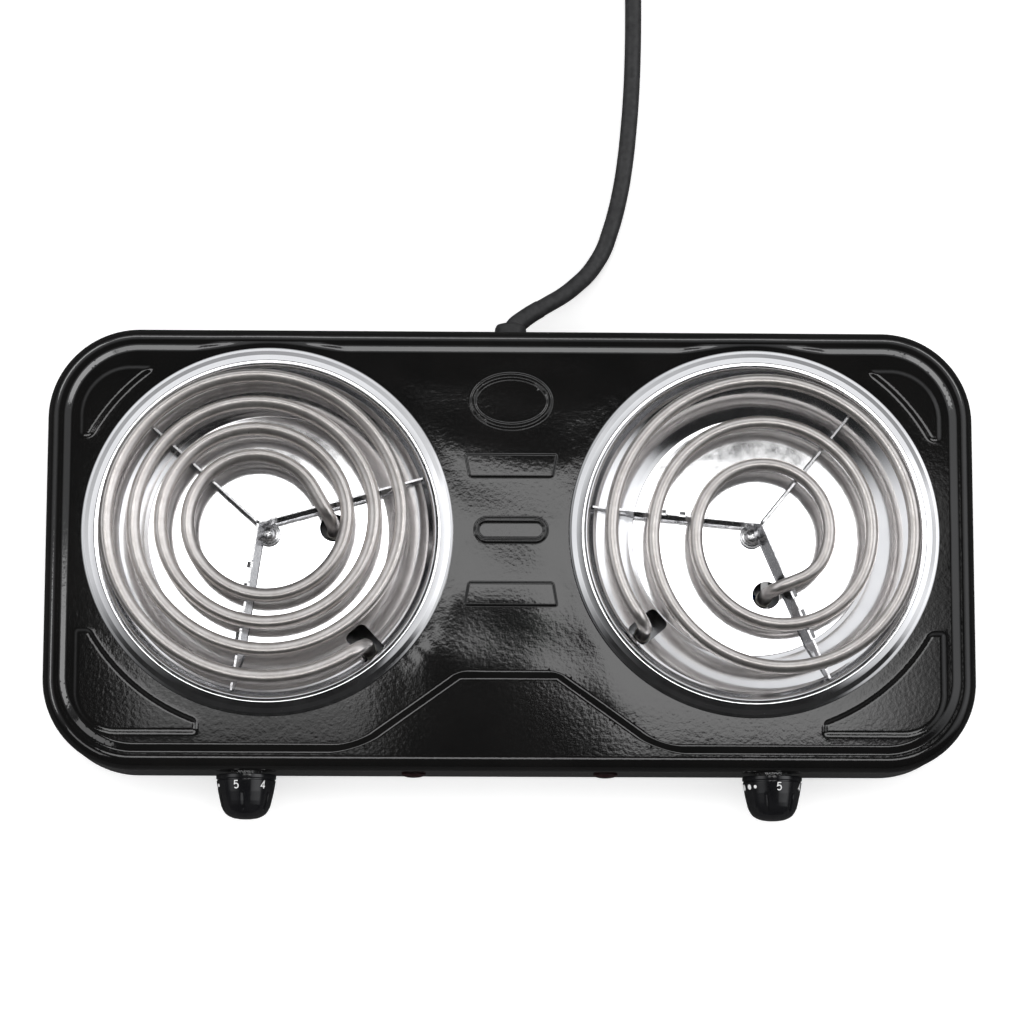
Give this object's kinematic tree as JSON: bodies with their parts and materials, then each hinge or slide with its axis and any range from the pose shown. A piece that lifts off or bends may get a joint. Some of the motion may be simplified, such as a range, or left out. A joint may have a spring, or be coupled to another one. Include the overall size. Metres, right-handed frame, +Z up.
{
  "type": "hot plate burner",
  "caption": "Twin coil electric hot plate: black enamelled steel body, two tubular coil elements over mirror drip pans, two front thermostat knobs, pilot lamps and a mains cord with plug.",
  "frame": {"origin": "on the table under the middle of the body and knobs together", "axes": "+X to the right seen from the front, -Y towards the user, +Z up"},
  "size_m": [0.4755, 0.5474, 0.0662],
  "materials": {
    "black_enamel": "gloss",
    "zinc_steel": "satin",
    "rubber": "matte",
    "screw_steel": "polished",
    "brass": "satin",
    "mirror_steel": "polished",
    "element_sheath": "satin",
    "ceramic": "matte",
    "arm_steel": "satin",
    "thermostat_case": "matte",
    "knob_plastic": "gloss",
    "lamp_lens": "gloss",
    "lamp_case": "matte",
    "wire_brown": "satin",
    "wire_blue": "satin",
    "wire_green": "satin",
    "cord_black": "satin",
    "nylon": "satin",
    "plug_plastic": "satin"
  },
  "bodies": {
    "root": {"top_housing": "black_enamel", "base_plate": "zinc_steel", "feet": "rubber", "foot_screws": "screw_steel", "base_screws": "screw_steel", "earth_screw": "brass", "drip_pan_left": "mirror_steel", "drip_pan_right": "mirror_steel", "element_left": "element_sheath", "element_right": "element_sheath", "element_beads_left": "ceramic", "element_beads_right": "ceramic", "element_pins_left": "screw_steel", "element_pins_right": "screw_steel", "spider_strip_left": "arm_steel", "spider_strip_right": "arm_steel", "spider_arm_left": "arm_steel", "spider_arm_right": "arm_steel", "hub_screw_left": "screw_steel", "hub_screw_right": "screw_steel", "hub_nut_left": "screw_steel", "hub_nut_right": "screw_steel", "pan_strap_left": "zinc_steel", "pan_strap_right": "zinc_steel", "thermostat_left": "thermostat_case", "thermostat_right": "thermostat_case", "thermostat_nut_left": "screw_steel", "thermostat_nut_right": "screw_steel", "lamp_lens_left": "lamp_lens", "lamp_lens_right": "lamp_lens", "lamp_body_left": "lamp_case", "lamp_body_right": "lamp_case", "terminal_block": "ceramic", "terminal_screws": "brass", "live_wires": "wire_brown", "neutral_wires": "wire_blue", "earth_wire": "wire_green", "cord_bush": "cord_black", "bush_collar": "nylon", "power_cord": "cord_black", "cord_coil": "cord_black", "cord_tail": "cord_black", "cord_tie": "nylon", "plug_body": "plug_plastic", "plug_pins": "screw_steel"},
    "control_left": {"knob_left": "knob_plastic", "control_shaft_left": "screw_steel"},
    "control_right": {"knob_right": "knob_plastic", "control_shaft_right": "screw_steel"}
  },
  "joints": [
    {"name": "knob_left_turn", "type": "hinge", "parent": "root", "child": "control_left", "pos_m": [-0.1275, -0.09625, 0.033], "axis": [0, 1, 0], "range_deg": [-263, 37]},
    {"name": "knob_right_turn", "type": "hinge", "parent": "root", "child": "control_right", "pos_m": [0.1275, -0.09625, 0.033], "axis": [0, 1, 0], "range_deg": [-300, 0]}
  ]
}
